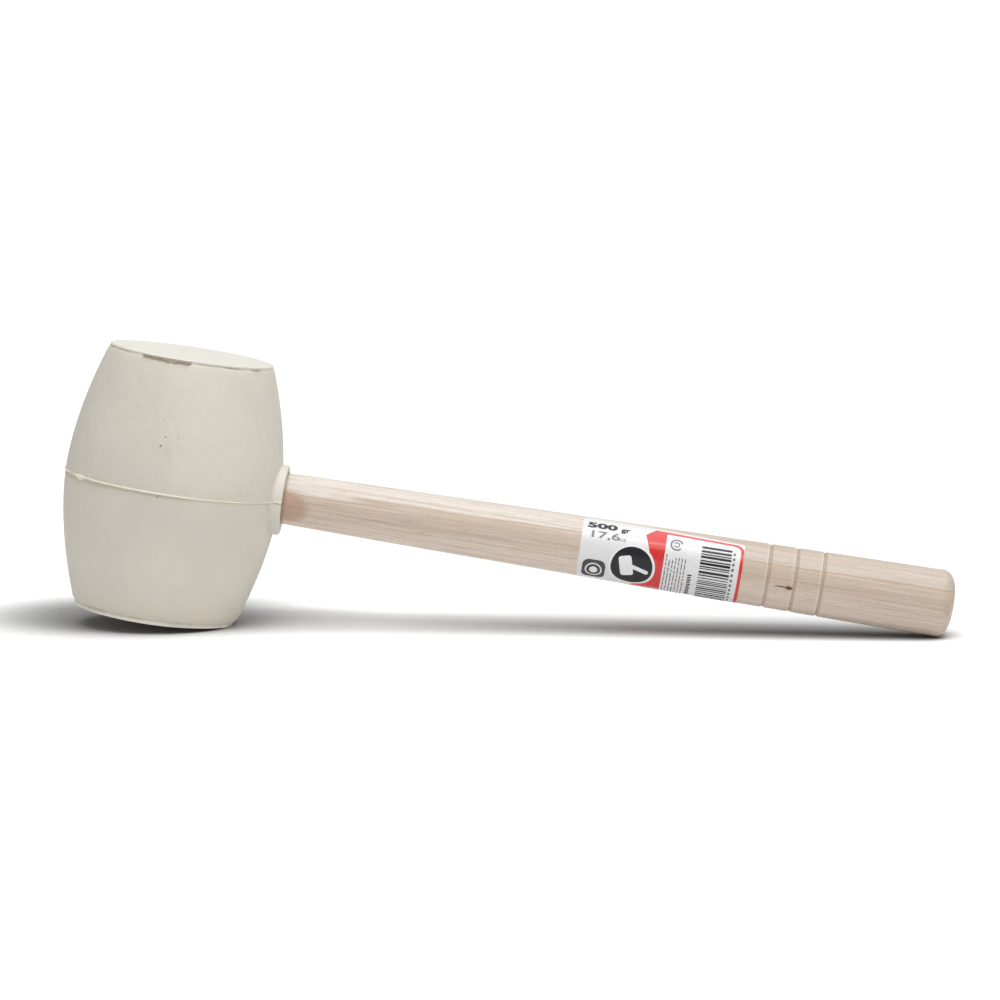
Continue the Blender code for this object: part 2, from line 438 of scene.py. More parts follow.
class Finish:
    """A material on its Principled shader, with short forms for the nodes that feed it."""

    def __init__(self, name, roughness):
        self.material = bpy.data.materials.new(name)
        self.material.use_nodes = True
        self.tree = self.material.node_tree
        self.shader = self.tree.nodes["Principled BSDF"]
        self.shader.inputs["Roughness"].default_value = roughness
        where = self.tree.nodes.new("ShaderNodeTexCoord")
        place = self.tree.nodes.new("ShaderNodeMapping")
        place.vector_type = "TEXTURE"
        place.inputs["Location"].default_value = head_middle
        place.inputs["Rotation"].default_value = (0, lean, 0)
        place.inputs["Scale"].default_value = (MM, MM, MM)
        self.tree.links.new(where.outputs["Object"], place.inputs["Vector"])
        self.place = place.outputs["Vector"]

    def feed(self, socket, value):
        if isinstance(value, bpy.types.NodeSocket):
            self.tree.links.new(value, socket)
        else:
            socket.default_value = value

    def give(self, name, value):
        self.feed(self.shader.inputs[name], value)

    def math(self, operation, first, second=0.0):
        node = self.tree.nodes.new("ShaderNodeMath")
        node.operation = operation
        for socket, value in zip(node.inputs, (first, second)):
            self.feed(socket, value)
        return node.outputs["Value"]

    def times(self, first, *others):
        for other in others:
            first = self.math("MULTIPLY", first, other)
        return first

    def plus(self, first, *others):
        for other in others:
            first = self.math("ADD", first, other)
        return first

    def split(self, vector):
        node = self.tree.nodes.new("ShaderNodeSeparateXYZ")
        self.feed(node.inputs["Vector"], vector)
        return node.outputs["X"], node.outputs["Y"], node.outputs["Z"]

    def stretch(self, scale, shift=(0, 0, 0), vector=None):
        node = self.tree.nodes.new("ShaderNodeMapping")
        self.feed(node.inputs["Vector"], vector or self.place)
        node.inputs["Scale"].default_value = scale
        node.inputs["Location"].default_value = shift
        return node.outputs["Vector"]

    def mottle(self, vector, **settings):
        node = self.tree.nodes.new("ShaderNodeGroup")
        node.node_tree = mottle
        self.feed(node.inputs["Vector"], vector)
        for name, value in settings.items():
            node.inputs[name.capitalize()].default_value = value
        return node.outputs["Mask"]

    def ramp(self, value, low, high, from_value=0.0, to_value=1.0):
        node = self.tree.nodes.new("ShaderNodeMapRange")
        node.interpolation_type = "SMOOTHSTEP"
        self.feed(node.inputs["Value"], value)
        node.inputs["From Min"].default_value = low
        node.inputs["From Max"].default_value = high
        node.inputs["To Min"].default_value = from_value
        node.inputs["To Max"].default_value = to_value
        return node.outputs["Result"]

    def band(self, value, centre, half_width, softness):
        """1 within half_width of the centre, falling to 0 over the softness beyond it."""
        away = self.math("ABSOLUTE", self.math("SUBTRACT", value, centre))
        return self.ramp(away, half_width, half_width + softness, 1.0, 0.0)

    def spot(self, centre, reach, edge=0.35):
        """A soft oval patch: 1 inside, 0 outside the reach on each axis."""
        node = self.tree.nodes.new("ShaderNodeMapping")
        node.vector_type = "TEXTURE"
        self.feed(node.inputs["Vector"], self.place)
        node.inputs["Location"].default_value = centre
        node.inputs["Scale"].default_value = reach
        length = self.tree.nodes.new("ShaderNodeVectorMath")
        length.operation = "LENGTH"
        self.feed(length.inputs["Vector"], node.outputs["Vector"])
        return self.ramp(length.outputs["Value"], 1 - edge, 1.0, 1.0, 0.0)

    def mix(self, share, first, second):
        node = self.tree.nodes.new("ShaderNodeMix")
        node.data_type = "RGBA"
        self.feed(node.inputs[0], share)
        for socket, value in ((node.inputs[6], first), (node.inputs[7], second)):
            self.feed(socket, value if isinstance(value, bpy.types.NodeSocket) else (*value, 1.0))
        return node.outputs[2]

    def raise_grain(self, height, distance, strength=1.0):
        node = self.tree.nodes.new("ShaderNodeBump")
        node.inputs["Strength"].default_value = strength
        node.inputs["Distance"].default_value = distance
        self.feed(node.inputs["Height"], height)
        self.tree.links.new(node.outputs["Normal"], self.shader.inputs["Normal"])


def rubber_finish():
    rubber = Finish("white rubber", 0.58)
    rubber.shader.inputs["Specular IOR Level"].default_value = 0.35
    place = rubber.place
    x, y, z = rubber.split(place)

    clouds = rubber.mottle(place, scale=0.035, detail=3, low=0.34, high=0.66)
    colour = rubber.mix(clouds, (0.574, 0.541, 0.474), (0.610, 0.575, 0.502))
    grain = rubber.mottle(place, scale=1.9, detail=2, low=0.55, high=0.80, most=0.07)
    colour = rubber.mix(grain, colour, (0.47, 0.44, 0.385))
    chalk = rubber.mottle(
        rubber.stretch((1, 1, 0.35)), scale=0.25, detail=5, roughness=0.65,
        low=0.50, high=0.78, most=0.15)
    colour = rubber.mix(chalk, colour, (0.70, 0.675, 0.61))

    # Painted light: the lower half is a little paler and warmer, as lit from the floor, and
    # the upper face a little lighter, as lit from above.
    colour = rubber.mix(rubber.ramp(z, -5, -35, 0.0, 0.22), colour, (0.76, 0.71, 0.63))
    colour = rubber.mix(rubber.ramp(z, 47.5, 47.9, 0.0, 0.7), colour, (0.69, 0.675, 0.625))

    # How far the surface stands out from the plain barrel shows the flash and the lips.
    radius = rubber.math("SQRT", rubber.plus(rubber.times(x, x), rubber.times(y, y)))
    share = rubber.math("DIVIDE", rubber.math("ABSOLUTE", z), half_length / MM)
    swell = rubber.math("POWER", share, BARREL_POWER)
    side = rubber.plus(rubber.times(swell, (FACE_RADIUS - belly_radius) / MM), belly_radius / MM)
    proud = rubber.math("SUBTRACT", radius, side)
    off_collar = rubber.ramp(x, 36.5, 37.5, 1.0, 0.0)
    near_line = rubber.band(z, 0, 2.5, 0.5)
    level = rubber.plus(
        rubber.ramp(x, -29, -8, -0.35, 0.20),
        rubber.ramp(x, 8, 28, 0.0, 0.70),
        rubber.ramp(x, 34, 40, 0.0, -0.30))
    above_line = rubber.math("SUBTRACT", z, level)

    # Yellowed beside the parting line and near both ends; a painted shadow below the flash,
    # a painted highlight on its crest, and painted shade in the pits.
    tired = rubber.band(above_line, 0, 1.0, 4.0)
    broken = rubber.mottle(place, scale=0.12, detail=2, low=0.38, high=0.62, most=0.40)
    colour = rubber.mix(rubber.times(tired, broken), colour, (0.560, 0.520, 0.400))
    end_band = rubber.band(rubber.math("ABSOLUTE", z), 43.5, 1.0, 4.0)
    end_band = rubber.times(end_band, rubber.ramp(z, -1, 1, 0.42, 0.22))
    colour = rubber.mix(end_band, colour, (0.64, 0.595, 0.465))
    lip_edge = rubber.times(rubber.ramp(z, -46.6, -46.9), rubber.ramp(radius, 29.0, 29.3), 0.5)
    colour = rubber.mix(lip_edge, colour, (0.76, 0.73, 0.65))
    # Painted shadow: a dark band just below the flash.
    flash_painted_shadow = rubber.band(above_line, -0.85, 0.25, 0.55)
    flash_painted_shadow = rubber.times(flash_painted_shadow, rubber.ramp(x, 4, 16, 0.28, 0.18))
    colour = rubber.mix(rubber.times(flash_painted_shadow, off_collar), colour, (0.36, 0.325, 0.235))
    # Painted highlight: pale cream along the flash's crest, where it catches the light from above.
    flash_crest_highlight = rubber.times(rubber.ramp(proud, 0.08, 0.26), near_line, off_collar)
    colour = rubber.mix(rubber.times(flash_crest_highlight, 0.80), colour, (0.76, 0.72, 0.58))
    # Painted shade: darker where the surface sinks below the plain barrel, in the pores.
    pit_painted_shade = rubber.times(rubber.ramp(proud, -0.28, -0.06, 1.0, 0.0), rubber.band(z, 0, 44, 1))
    colour = rubber.mix(rubber.times(pit_painted_shade, 0.7), colour, (0.26, 0.23, 0.18))

    collar = rubber.ramp(x, 37.6, 38.8)
    colour = rubber.mix(rubber.times(collar, 0.45), colour, (0.70, 0.68, 0.60))
    # Painted highlight on the collar's flash, and a painted shadow just below it.
    collar_flash_highlight = rubber.times(collar, rubber.band(z, 0.62, 0.26, 0.10), 0.8)
    colour = rubber.mix(collar_flash_highlight, colour, (0.78, 0.76, 0.68))
    collar_flash_shadow = rubber.times(collar, rubber.band(z, 0.05, 0.15, 0.25), 0.45)
    colour = rubber.mix(collar_flash_shadow, colour, (0.40, 0.37, 0.29))

    # The torn flap's down-facing edge under the upper lip is darkened to brown with painted
    # shade, and the grooves under both lips get patches of painted shade with grime.
    rim = rubber.ramp(rubber.math("ABSOLUTE", z), 44.5, 45.2)
    under_lip = rubber.times(rubber.ramp(z, 47.75, 47.5), rubber.ramp(z, 44.5, 45.2))
    # Painted shade: brown on the flap's down-facing edge.
    flap_edge_painted_shade = rubber.times(rubber.ramp(proud, 0.16, 0.42), under_lip)
    colour = rubber.mix(rubber.times(flap_edge_painted_shade, 0.92), colour, (0.37, 0.300, 0.205))
    # Painted shade with grime: patches of darker colour in the grooves under the lips.
    groove_shade_and_grime = rubber.ramp(proud, -0.30, -0.10, 1.0, 0.0)
    groove_shade_and_grime = rubber.times(groove_shade_and_grime, rim, rubber.ramp(radius, 29.3, 29.5))
    patchy = rubber.mottle(place, scale=0.10, detail=3, low=0.44, high=0.58, most=0.60)
    at_ends = rubber.ramp(rubber.math("ABSOLUTE", x), 20, 28, 1.0, 0.35)
    groove_shade_and_grime = rubber.times(groove_shade_and_grime, patchy, at_ends, rubber.ramp(z, -1, 1, 0.5, 1.0))
    colour = rubber.mix(groove_shade_and_grime, colour, (0.36, 0.315, 0.235))

    streaks = rubber.mottle(rubber.stretch((1, 1, 0.3)), scale=0.9, low=0.46, high=0.62)
    smudge = rubber.times(rubber.spot((1.5, -38, 20), (5.5, 6, 17), edge=0.8), streaks)
    colour = rubber.mix(rubber.times(smudge, 0.15), colour, (0.36, 0.34, 0.30))

    rubber.give("Base Color", colour)
    rubber.give("Roughness", rubber.mottle(place, scale=0.2, detail=4, least=0.52, most=0.66))
    dents = rubber.mottle(place, scale=0.16, detail=3, low=0.2, high=0.8)
    skin = rubber.mottle(place, scale=1.6, detail=4, roughness=0.6, low=0.2, high=0.8)
    relief = rubber.plus(rubber.times(dents, 2.2), rubber.times(skin, 0.30))
    rubber.raise_grain(relief, 0.10 * MM, 0.8)
    return rubber.material


head = turned("head_moulding", head_outline(), 480)
raise_flash(head)
cut_or_join(head, collar_form(), "UNION")
cut_or_join(head, collar_flash_form(), "UNION")
cut_or_join(head, socket_form(), "DIFFERENCE")
cut_or_join(head, pore_forms(), "DIFFERENCE")
finish_piece(head, rubber_finish(), ["rubber_head"])


# ---------------------------------------------------------------------------------------
# The handle: one turned beech stick, thin at the head and full at the grip, with three
# grooves cut on the lathe.  Its straight tenon, split by a saw kerf, is hidden in the head.
# ---------------------------------------------------------------------------------------

TENON_END = -22.5 * MM
END_ROUNDING = 5.0 * MM
END_DOMING = 7.2 * MM
GROOVES_AT = [218.8 * MM, 228.6 * MM, 238.5 * MM]
GROOVE_HALF_WIDTH = 0.7 * MM
GROOVE_DEPTH = 0.4 * MM


def handle_outline():
    outline = [(0, handle_end), (0.20 * GRIP_RADIUS, handle_end)]
    outline += rounded_corner(GRIP_RADIUS, handle_end, END_DOMING, END_ROUNDING, 18)
    along = handle_end - END_ROUNDING - 3 * MM
    while along > COLLAR_END - 3 * MM:
        groove = [centre for centre in GROOVES_AT if abs(centre - along) < 2 * MM]
        if groove:
            for step in range(13):
                offset = GROOVE_HALF_WIDTH * (1 - step / 6) * 1.25
                share = min(1.0, abs(offset) / GROOVE_HALF_WIDTH)
                depth = GROOVE_DEPTH * (1 - share ** 2.2)
                outline.append((handle_radius(groove[0] + offset) - depth, groove[0] + offset))
            along = groove[0] - 2.3 * MM
        outline.append((handle_radius(along), along))
        along -= 3 * MM
    outline += [(NECK_RADIUS, NECK_AT), (NECK_RADIUS, TENON_END + 1 * MM)]
    outline += [(NECK_RADIUS - 1 * MM, TENON_END), (0, TENON_END)]
    return outline


def kerf_form():
    """The saw cut in the tenon's end, wider at its mouth where the wedge goes in."""
    length = 24.3 * MM
    middle = (TENON_END - 2 * MM + length / 2, 0, handle_rise)
    form = block("kerf_form", (length, 40 * MM, 3.3 * MM), middle)
    bpy.ops.object.mode_set(mode="EDIT")
    bpy.ops.mesh.select_mode(type="VERT")
    bpy.ops.object.mode_set(mode="OBJECT")
    for corner in form.data.vertices:
        corner.select = corner.co.x > TENON_END + 2 * MM
    bpy.ops.object.mode_set(mode="EDIT")
    bpy.ops.transform.resize(value=(1, 1, 0.36), center_override=(0, 0, handle_rise))
    bpy.ops.object.mode_set(mode="OBJECT")
    return form


def beech_finish():
    beech = Finish("beech", 0.5)
    beech.shader.inputs["Specular IOR Level"].default_value = 0.4
    beech.place = beech.stretch((1, 1, 1), (0, 0, -handle_rise / MM))
    x, y, z = beech.split(beech.place)
    front = beech.ramp(y, -6, -4, 1.0, 0.0)

    # Growth layers lie nearly level along the stick, so they show as long bands on its side.
    # The bands by height also carry painted light: cream on top, as lit from above, and the
    # lower colour paler underneath, as lit from the floor, with the wood's tan between.
    drift = beech.mottle(
        beech.stretch((0.012, 0.25, 0.25)), scale=1.0, low=0.0, high=1.0, most=5.0)
    layer = beech.plus(z, beech.ramp(x, 40, 150, 1.6, 0.0), drift, -2.5)
    cream_and_top_light, tan, lower = (0.655, 0.603, 0.540), (0.560, 0.455, 0.370), (0.700, 0.595, 0.510)
    colour = beech.mix(beech.ramp(layer, -4.5, 0.5), lower, tan)
    colour = beech.mix(beech.ramp(layer, 5.4, 6.6), colour, cream_and_top_light)
    edge_strength = beech.ramp(x, 205, 225, 0.34, 0.70)
    latewood = beech.times(beech.band(layer, 5.5, 0.12, 0.50), edge_strength)
    colour = beech.mix(latewood, colour, (0.36, 0.26, 0.18))

    # Fine layers, pale and dark streaks, short dark flecks and broader rays.
    rings = beech.mottle(
        beech.stretch((0.006, 0.5, 1.9)), scale=1.0, detail=4, roughness=0.6, distortion=0.4,
        low=0.46, high=0.64, most=0.46)
    colour = beech.mix(rings, colour, (0.46, 0.355, 0.275))
    pale = beech.mottle(
        beech.stretch((0.010, 1.1, 1.1), (3, 7, 1)), scale=1.0, low=0.50, high=0.72, most=0.40)
    colour = beech.mix(pale, colour, (0.72, 0.645, 0.575))
    streaks = beech.mottle(
        beech.stretch((0.035, 3.2, 3.2)), scale=1.0, roughness=0.7,
        low=0.48, high=0.70, most=0.40)
    colour = beech.mix(streaks, colour, (0.40, 0.295, 0.215))
    flecks = beech.mottle(
        beech.stretch((0.42, 4.2, 4.2)), scale=1.0, detail=1, low=0.64, high=0.74, most=0.50)
    colour = beech.mix(flecks, colour, (0.36, 0.250, 0.170))
    rays = beech.mottle(
        beech.stretch((0.16, 1.6, 1.6), (5, 2, 9)), scale=1.0, detail=2,
        low=0.62, high=0.72, most=0.35)
    colour = beech.mix(rays, colour, (0.45, 0.335, 0.250))
    # The grip is a little darker from the label on towards the butt, and its top more so.
    grip_top_darker = beech.times(beech.ramp(x, 150, 225), beech.ramp(layer, 4.5, 7.0, 0.10, 0.36))
    colour = beech.mix(grip_top_darker, colour, (0.33, 0.235, 0.165))

    # Turned grooves are burnished darker, with a painted highlight along the edge nearer the head.
    for centre in GROOVES_AT:
        scorch = beech.times(beech.band(x, centre / MM, 0.30, 0.45), 0.50)
        colour = beech.mix(scorch, colour, (0.33, 0.25, 0.16))
        groove_edge_highlight = beech.times(beech.band(x, centre / MM - 1.0, 0.10, 0.35), 0.35)
        colour = beech.mix(groove_edge_highlight, colour, (0.74, 0.66, 0.55))

    # A small knot between two grooves with the streak that trails from it, and the reddish
    # patch and a painted shadow on the wood beside the collar.
    halo = beech.times(beech.spot((226.6, -11.6, -1.8), (3.4, 8, 1.8), edge=0.9), front, 0.45)
    colour = beech.mix(halo, colour, (0.42, 0.26, 0.17))
    knot = beech.spot((226.8, -11.6, -1.85), (1.7, 8, 0.90), edge=0.5)
    trail = beech.times(beech.spot((223.8, -11.6, -1.70), (3.2, 8, 0.42), edge=0.6), 0.85)
    dark = beech.times(beech.math("MAXIMUM", knot, trail), front)
    colour = beech.mix(dark, colour, (0.110, 0.045, 0.022))
    patch = beech.times(beech.spot((41, -9, -2.0), (12, 7, 7.5), edge=0.4), front, 0.72)
    colour = beech.mix(patch, colour, (0.44, 0.275, 0.180))
    collar_painted_shadow = beech.ramp(x, 41.1, 42.5, 0.60, 0.0)
    colour = beech.mix(collar_painted_shadow, colour, (0.30, 0.21, 0.145))

    # End grain on the butt and on the tenon's end.
    on_end = beech.ramp(x, 286.75, 286.95)
    end_rings = beech.mottle(beech.stretch((0.0, 0.07, 0.9)), scale=1.0, detail=3, low=0.40, high=0.60)
    end_colour = beech.mix(end_rings, (0.52, 0.40, 0.30), (0.38, 0.28, 0.20))
    end_rays = beech.mottle(
        beech.stretch((0.0, 3.5, 0.5)), scale=1.0, detail=2, low=0.58, high=0.70, most=0.4)
    end_colour = beech.mix(end_rays, end_colour, (0.62, 0.49, 0.37))
    colour = beech.mix(on_end, colour, end_colour)
    colour = beech.mix(beech.ramp(x, 280, 286, 0.0, 0.16), colour, (0.30, 0.21, 0.15))

    beech.give("Base Color", colour)
    beech.give("Roughness", beech.ramp(streaks, 0.0, 0.3, 0.46, 0.60))
    beech.raise_grain(beech.plus(beech.times(streaks, 3.0), flecks), 0.05 * MM, 0.6)
    return beech.material


handle = turned("handle_stick", handle_outline(), 128, along="X", lift=handle_rise)
cut_or_join(handle, kerf_form(), "DIFFERENCE")
finish_piece(handle, beech_finish(), ["handle"])


# ---------------------------------------------------------------------------------------
# The label: a printed film wrapped part of the way round the handle, above the grooves.
# The film and each ink are thin closed layers, drawn flat and then wrapped.
# ---------------------------------------------------------------------------------------

LABEL_START = 150 * MM
LABEL_LENGTH = 59 * MM
LABEL_TOP_TURN = math.radians(24.5)
LABEL_WRAP = math.radians(202)
label_core = handle_radius(LABEL_START + LABEL_LENGTH / 2)
label_height = label_core * LABEL_WRAP
wide = LABEL_LENGTH / MM
deep = label_height / MM
FILM_LIFT = 0.03 * MM
FILM_THICKNESS = 0.09 * MM
INK_THICKNESS = 0.012 * MM
SLICE = 0.5 * MM


def wrap_round_handle(piece, lift, thickness):
    """Slices a flat drawing finely and lays it round the handle: x runs along, y runs round."""
    take_up(piece)
    bpy.ops.object.mode_set(mode="EDIT")
    level = 6 * SLICE
    while level > -label_height:
        bpy.ops.mesh.select_all(action="SELECT")
        bpy.ops.mesh.bisect(plane_co=(0, level, 0), plane_no=(0, 1, 0), threshold=0.0001 * MM)
        level -= SLICE
    bpy.ops.object.mode_set(mode="OBJECT")
    for corner in piece.data.vertices:
        along = LABEL_START + corner.co.x
        turn = LABEL_TOP_TURN - corner.co.y / label_core
        radius = handle_radius(along) + lift
        height = handle_rise + radius * math.cos(turn)
        corner.co = (along, -radius * math.sin(turn), height)
    skin = piece.modifiers.new("layer", "SOLIDIFY")
    skin.thickness = thickness
    skin.offset = 1.0
    bpy.ops.object.modifier_apply(modifier=skin.name)


def panel(left, top, width, height, turn=0.0):
    """A flat rectangle in millimetres from the label's upper left corner."""
    put_down()
    bpy.ops.mesh.primitive_plane_add(size=1)
    item = bpy.context.object
    item.scale = (width * MM, height * MM, 1)
    item.location = ((left + width / 2) * MM, -(top + height / 2) * MM, 0)
    item.rotation_euler = (0, 0, math.radians(turn))
    bpy.ops.object.transform_apply(location=True, rotation=True, scale=True)
    return item


def round_corners(item, rounding, segments=8):
    take_up(item)
    bpy.ops.object.mode_set(mode="EDIT")
    bpy.ops.mesh.select_all(action="SELECT")
    bpy.ops.mesh.bevel(affect="VERTICES", offset=rounding * MM, segments=segments)
    bpy.ops.object.mode_set(mode="OBJECT")
    return item


def shape(corners):
    """A flat outline with straight sides, filled."""
    item = draw_line("shape", [Vector((across * MM, -down * MM, 0)) for across, down in corners])
    bpy.ops.mesh.select_all(action="SELECT")
    bpy.ops.mesh.edge_face_add()
    bpy.ops.object.mode_set(mode="OBJECT")
    return item


def disc(across, down, radius):
    put_down()
    place = (across * MM, -down * MM, 0)
    bpy.ops.mesh.primitive_circle_add(
        vertices=72, radius=radius * MM, fill_type="NGON", location=place)
    bpy.ops.object.transform_apply(location=True, rotation=True, scale=True)
    return bpy.context.object


def arc(across, down, radius, width, first=0, last=360):
    """A ring or a part of one; angles run anticlockwise from the right."""
    centre = Vector((across * MM, -down * MM, 0))
    out = Vector((math.cos(math.radians(first)), math.sin(math.radians(first)), 0))
    item = draw_line("arc", [centre + out * (radius - width) * MM, centre + out * radius * MM])
    bpy.ops.mesh.select_all(action="SELECT")
    bpy.ops.mesh.spin(steps=48, angle=-math.radians(last - first), center=centre, axis=(0, 0, 1))
    bpy.ops.mesh.select_all(action="SELECT")
    bpy.ops.mesh.remove_doubles(threshold=0.001 * MM)
    bpy.ops.object.mode_set(mode="OBJECT")
    return item


def words(text, left, base, size, width=1.0, weight=0.0):
    """Plain lettering, converted to a flat mesh."""
    put_down()
    bpy.ops.object.text_add(location=(left * MM, -base * MM, 0))
    item = bpy.context.object
    item.data.body = text
    item.data.size = size * MM
    item.data.offset = weight * MM
    item.data.resolution_u = 3
    item.scale = (width, 1, 1)
    bpy.ops.object.convert(target="MESH")
    item = bpy.context.object
    take_up(item)
    bpy.ops.object.transform_apply(location=True, rotation=True, scale=True)
    return item


def face_outwards(piece):
    """Turns every flat face of a drawing towards +Z, which becomes the outside."""
    take_up(piece)
    bpy.ops.object.mode_set(mode="EDIT")
    bpy.ops.mesh.select_mode(type="FACE")
    bpy.ops.mesh.select_all(action="DESELECT")
    bpy.ops.object.mode_set(mode="OBJECT")
    for face in piece.data.polygons:
        face.select = face.normal.z < 0
    bpy.ops.object.mode_set(mode="EDIT")
    bpy.ops.mesh.flip_normals()
    bpy.ops.mesh.select_mode(type="VERT")
    bpy.ops.object.mode_set(mode="OBJECT")


def ink_finish(name, colour, roughness, gloss=0.45):
    """Even, glossy ink or film, with a little mottle."""
    ink = Finish(name, roughness)
    ink.shader.inputs["Specular IOR Level"].default_value = gloss
    lighter = tuple(min(1.0, part * 1.25 + 0.02) for part in colour)
    patches = ink.mottle(ink.place, scale=3.2, low=0.45, high=0.75, most=0.4)
    ink.give("Base Color", ink.mix(patches, colour, lighter))
    ink.give("Roughness", ink.ramp(patches, 0.0, 0.4, roughness - 0.03, roughness + 0.06))
    return ink.material


def printed_layer(name, items, level, finish, replaced=()):
    """Joins flat drawings into one layer and wraps it: the film itself, or an ink on it."""
    layer = joined(name, items)
    face_outwards(layer)
    if replaced:
        wrap_round_handle(layer, FILM_LIFT, FILM_THICKNESS)
    else:
        lift = FILM_LIFT + FILM_THICKNESS + level * INK_THICKNESS
        wrap_round_handle(layer, lift, INK_THICKNESS * 0.9)
    finish_piece(layer, finish, replaced)


# The film is cut a little out of square, so its upper edge runs down towards the grip.
film = shape([(0, deep), (0, -2.8), (31, -1.3), (wide + 0.15, 0.95), (wide, deep)])
film_finish = ink_finish("label film", (0.67, 0.67, 0.67), 0.24)
printed_layer("label_film", [round_corners(film, 0.9)], 0, film_finish, ["label"])

RED_LINE = 1.15
red_items = [
    shape([
        (23.1, 3.2), (26.6, -0.25), (30.7, 0.0), (30.7, deep - 0.5),
        (12.0, deep - 0.5), (20.9, 25.0), (27.5, 17.0),
    ]),
    shape([(30.5, 0.0), (55.8, 1.35), (55.8, 2.35), (30.5, 1.15)]),
    arc(55.7, 4.75, 3.4, RED_LINE, 0, 90),
    panel(57.95, 4.75, RED_LINE, deep - 8.3),
    arc(55.7, deep - 3.6, 3.4, RED_LINE, 270, 360),
    panel(30.7, deep - 1.35, 25.0, RED_LINE),
]

MARK_ACROSS, MARK_DOWN = 19.6, 16.4
black_items = [
    words("500", 1.7, 3.35, 3.75, width=1.92, weight=0.19),
    words("gr", 14.1, 3.50, 2.9, width=1.30, weight=0.11),
    disc(MARK_ACROSS, MARK_DOWN, 7.6),
]
mark_items = [
    round_corners(panel(MARK_ACROSS - 4.4, MARK_DOWN - 4.0, 4.7, 7.8, 14), 1.0, 4),
    round_corners(panel(MARK_ACROSS - 0.3, MARK_DOWN - 0.2, 6.6, 1.5, -16), 0.6, 4),
]

EMBLEM_ACROSS, EMBLEM_DOWN = 6.1, 20.2
grey_items = [
    words("17,6", 2.3, 7.45, 3.9, width=1.76, weight=0.06),
    words("oz", 13.5, 7.50, 2.3, width=1.20),
    arc(34.6, 5.5, 2.35, 0.60, 20, 320),
    arc(34.6, 5.5, 1.10, 0.40, 200, 520),
]
dark_items = [round_corners(panel(EMBLEM_ACROSS - 4.2, EMBLEM_DOWN - 4.4, 8.4, 8.8), 2.4, 6)]
emblem_items = [
    arc(EMBLEM_ACROSS, EMBLEM_DOWN, 3.1, 0.50),
    disc(EMBLEM_ACROSS, EMBLEM_DOWN, 1.5),
]

# Short bars stand for small print, and a comb of bars for a stock code.
dice = random.Random(11)
down = 4.4
while down < deep - 6.5:
    thick = dice.choice([0.30, 0.45, 0.60, 0.85])
    black_items.append(panel(43.8, down, 11.0, thick))
    down += thick + dice.choice([0.35, 0.45, 0.70])
for column in range(7):
    down = 9.2 + dice.uniform(0, 2.5)
    while down < deep - 7.0:
        length = dice.uniform(0.8, 2.6)
        grey_items.append(panel(31.4 + column * 1.15, down, 0.36, length))
        down += length + dice.uniform(0.3, 0.6)
for row in range(12):
    black_items.append(panel(40.0, 15.6 + row * 0.95, 1.5 - 0.25 * (row % 2), 0.55))
    grey_items.append(panel(55.3, 5.4 + row * 1.9, 0.9, 1.0))

white_ink = ink_finish("white ink", (0.74, 0.74, 0.74), 0.30)
red_ink = ink_finish("red ink", (0.60, 0.025, 0.025), 0.20, gloss=0.55)
printed_layer("label_red", red_items, 0, red_ink)
printed_layer("label_ring", [disc(MARK_ACROSS, MARK_DOWN, 8.5)], 1, white_ink)
black_ink = ink_finish("black ink", (0.012, 0.012, 0.014), 0.32, gloss=0.35)
printed_layer("label_black", black_items, 2, black_ink)
printed_layer("label_grey", grey_items, 2, ink_finish("grey ink", (0.15, 0.15, 0.16), 0.34))
printed_layer("label_emblem", dark_items, 2, ink_finish("dark ink", (0.045, 0.045, 0.050), 0.34))
printed_layer("label_marks", mark_items + emblem_items, 3, white_ink)


# ---------------------------------------------------------------------------------------
# Inside the head: the steel wedge that spreads the tenon, and the glue round it.  Neither
# shows, so both keep their CAD shapes and get the finish of what they are.
# ---------------------------------------------------------------------------------------

def wedge_finish():
    steel = Finish("wedge steel", 0.4)
    steel.shader.inputs["Metallic"].default_value = 1.0
    drawn = steel.mottle(steel.stretch((0.05, 2.5, 2.5)), scale=1.0, detail=4)
    steel.give("Base Color", steel.mix(drawn, (0.36, 0.36, 0.37), (0.52, 0.52, 0.53)))
    steel.give("Roughness", steel.ramp(drawn, 0.0, 1.0, 0.30, 0.50))
    steel.raise_grain(drawn, 0.01 * MM)
    return steel.material


def glue_finish():
    glue = Finish("contact glue", 0.35)
    runs = glue.mottle(glue.place, scale=0.35, detail=4, roughness=0.6)
    glue.give("Base Color", glue.mix(runs, (0.62, 0.44, 0.16), (0.78, 0.62, 0.32)))
    glue.give("Roughness", glue.ramp(runs, 0.0, 1.0, 0.28, 0.45))
    glue.raise_grain(runs, 0.05 * MM)
    return glue.material


for node, finish in (("tenon_wedge", wedge_finish()), ("glue_sleeve", glue_finish())):
    kept = frame["nodes"][node]
    kept.data.materials.clear()
    kept.data.materials.append(finish)


# ---------------------------------------------------------------------------------------
# A pale floor, a broad soft light overhead, a strip light in front, and the camera.
# ---------------------------------------------------------------------------------------

put_down()
bpy.ops.mesh.primitive_plane_add(size=40, location=(0, 15, 0))
floor = bpy.context.object
floor.name = "floor"
floor_finish = bpy.data.materials.new("pale floor")
floor_finish.use_nodes = True
floor_nodes = floor_finish.node_tree
floor_shader = floor_nodes.nodes["Principled BSDF"]
floor_shader.inputs["Roughness"].default_value = 0.9
floor_shader.inputs["Specular IOR Level"].default_value = 0.0
floor_seen = floor_nodes.nodes.new("ShaderNodeLightPath")
floor_tone = floor_nodes.nodes.new("ShaderNodeMix")
floor_tone.data_type = "RGBA"
floor_tone.inputs[6].default_value = (0.80, 0.80, 0.80, 1)

